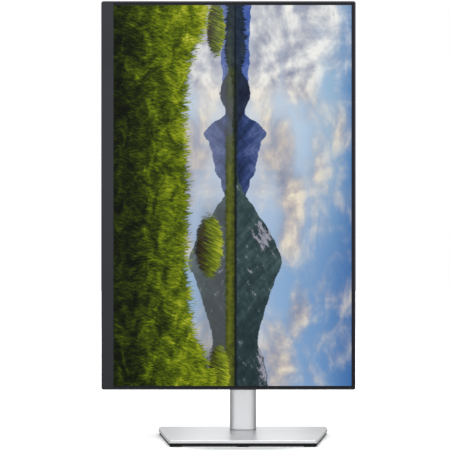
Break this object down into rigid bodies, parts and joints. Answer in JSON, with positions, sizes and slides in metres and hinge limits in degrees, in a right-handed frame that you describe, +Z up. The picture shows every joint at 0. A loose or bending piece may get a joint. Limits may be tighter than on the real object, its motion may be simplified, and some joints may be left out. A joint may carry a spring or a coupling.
{
  "type": "computer monitor",
  "caption": "Thin-bezel flat desktop monitor standing in portrait on a silver stand with height, swivel, tilt and pivot joints, keys, ports and a plate mount.",
  "frame": {"origin": "on the desk, under the middle of the whole object's bounding box", "axes": "+X to the viewer's right, +Y away from the viewer, +Z up; the screen faces -Y and stands in portrait with its chin at -X"},
  "size_m": [0.3464, 0.18, 0.601],
  "materials": {
    "satin_silver": "satin",
    "black_plastic": "matte",
    "bezel_plastic": "fine texture",
    "cover_plastic": "fine texture",
    "steel": "zinc plated",
    "dark_steel": "oiled",
    "screw_steel": "black zinc",
    "brass": "turned",
    "rubber": "matte",
    "white_acetal": "waxy",
    "panel_glass": "anti-glare",
    "film": "white",
    "acrylic": "clear",
    "circuit_board": "solder mask",
    "socket_metal": "tinned",
    "lens": "milky",
    "stick_parts": "plain"
  },
  "bodies": {
    "base": {"base_plate": "satin_silver", "base_bottom_cover": "black_plastic", "base_weight": "steel", "base_screws": "screw_steel", "base_feet": "rubber", "swivel_washer": "white_acetal"},
    "column": {"column_foot": "steel", "swivel_nut": "steel", "column_front_cover": "satin_silver", "column_rear_cover": "satin_silver", "column_cap": "satin_silver", "cable_ring": "black_plastic", "column_rail": "steel", "column_screw": "screw_steel", "spring_strip": "steel"},
    "carriage": {"carriage": "steel", "slider_pads": "white_acetal", "head_bracket": "steel", "head_screws": "screw_steel", "arm_cover": "satin_silver", "tilt_pin": "dark_steel", "tilt_washers": "dark_steel", "tilt_nut": "dark_steel"},
    "spring_reel": {"spring_coil": "steel", "spring_drum": "steel"},
    "tilt_head": {"tilt_bracket": "steel", "hinge_shroud": "black_plastic", "pivot_washer": "white_acetal"},
    "display": {"mount_plate": "steel", "pivot_shaft": "dark_steel", "pivot_nut": "dark_steel", "front_bezel": "bezel_plastic", "lcd_glass": "panel_glass", "optical_sheets": "film", "light_guide": "acrylic", "led_bar": "circuit_board", "panel_frame": "black_plastic", "panel_back_pan": "steel", "rear_cover": "cover_plastic", "rear_screws": "screw_steel", "vesa_inserts": "brass", "board_chassis": "steel", "main_board": "circuit_board", "power_board": "circuit_board", "video_sockets": "socket_metal", "usb_sockets": "socket_metal", "ac_inlet": "black_plastic", "catch_plate": "steel", "latch_guide": "black_plastic", "latch_spring": "steel", "key_board": "circuit_board", "joystick_base": "circuit_board"},
    "power_key": {"power_button": "black_plastic", "button_lens": "lens"},
    "release_key": {"release_button": "black_plastic"},
    "latch": {"release_latch": "steel"},
    "stick_ring": {"joystick_ring": "stick_parts"},
    "stick_cradle": {"joystick_cradle": "stick_parts"},
    "stick_cap": {"joystick_cap": "black_plastic"}
  },
  "joints": [
    {"name": "swivel", "type": "hinge", "parent": "base", "child": "column", "pos_m": [0.02, 0.062, 0], "axis": [0, 0, 1], "range_deg": [-45, 45]},
    {"name": "height", "type": "slide", "parent": "column", "child": "carriage", "axis": [0, 0, 1], "range_m": [-0.0535, 0], "deforming": ["spring_strip"]},
    {"name": "reel_turn", "type": "hinge", "parent": "carriage", "child": "spring_reel", "pos_m": [0.02, 0.0635, 0.28], "axis": [1, 0, 0], "range_deg": [0, 400]},
    {"name": "tilt", "type": "hinge", "parent": "carriage", "child": "tilt_head", "pos_m": [0.02, 0.026, 0.3367], "axis": [-1, 0, 0], "range_deg": [-5, 21]},
    {"name": "pivot", "type": "hinge", "parent": "tilt_head", "child": "display", "pos_m": [0.02, 0.004, 0.3367], "axis": [0, -1, 0], "range_deg": [0, 180]},
    {"name": "power_press", "type": "slide", "parent": "display", "child": "power_key", "axis": [1, 0, 0], "range_m": [0, 0.001], "stiffness_N_per_m": 700, "springref_m": -0.0005},
    {"name": "release_press", "type": "slide", "parent": "display", "child": "release_key", "axis": [0, -1, 0], "range_m": [0, 0.003], "stiffness_N_per_m": 900, "springref_m": -0.001},
    {"name": "latch_draw", "type": "slide", "parent": "display", "child": "latch", "axis": [-1, 0, 0], "range_m": [0, 0.003], "deforming": ["latch_spring"]},
    {"name": "stick_up_down", "type": "hinge", "parent": "display", "child": "stick_ring", "pos_m": [-0.148, -0.028, 0.113], "axis": [1, 0, 0], "range_deg": [-6, 6], "stiffness_Nm_per_rad": 0.02},
    {"name": "stick_left_right", "type": "hinge", "parent": "stick_ring", "child": "stick_cradle", "pos_m": [-0.148, -0.028, 0.113], "axis": [0, 0, 1], "range_deg": [-6, 6], "stiffness_Nm_per_rad": 0.02},
    {"name": "stick_press", "type": "slide", "parent": "stick_cradle", "child": "stick_cap", "axis": [0, -1, 0], "range_m": [0, 0.0005], "stiffness_N_per_m": 800, "springref_m": -0.0003}
  ],
  "couplings": [
    {"joint": "reel_turn", "follows": "height", "rad_per_m": -120.48},
    {"joint": "latch_draw", "follows": "release_press", "ratio": 1}
  ]
}
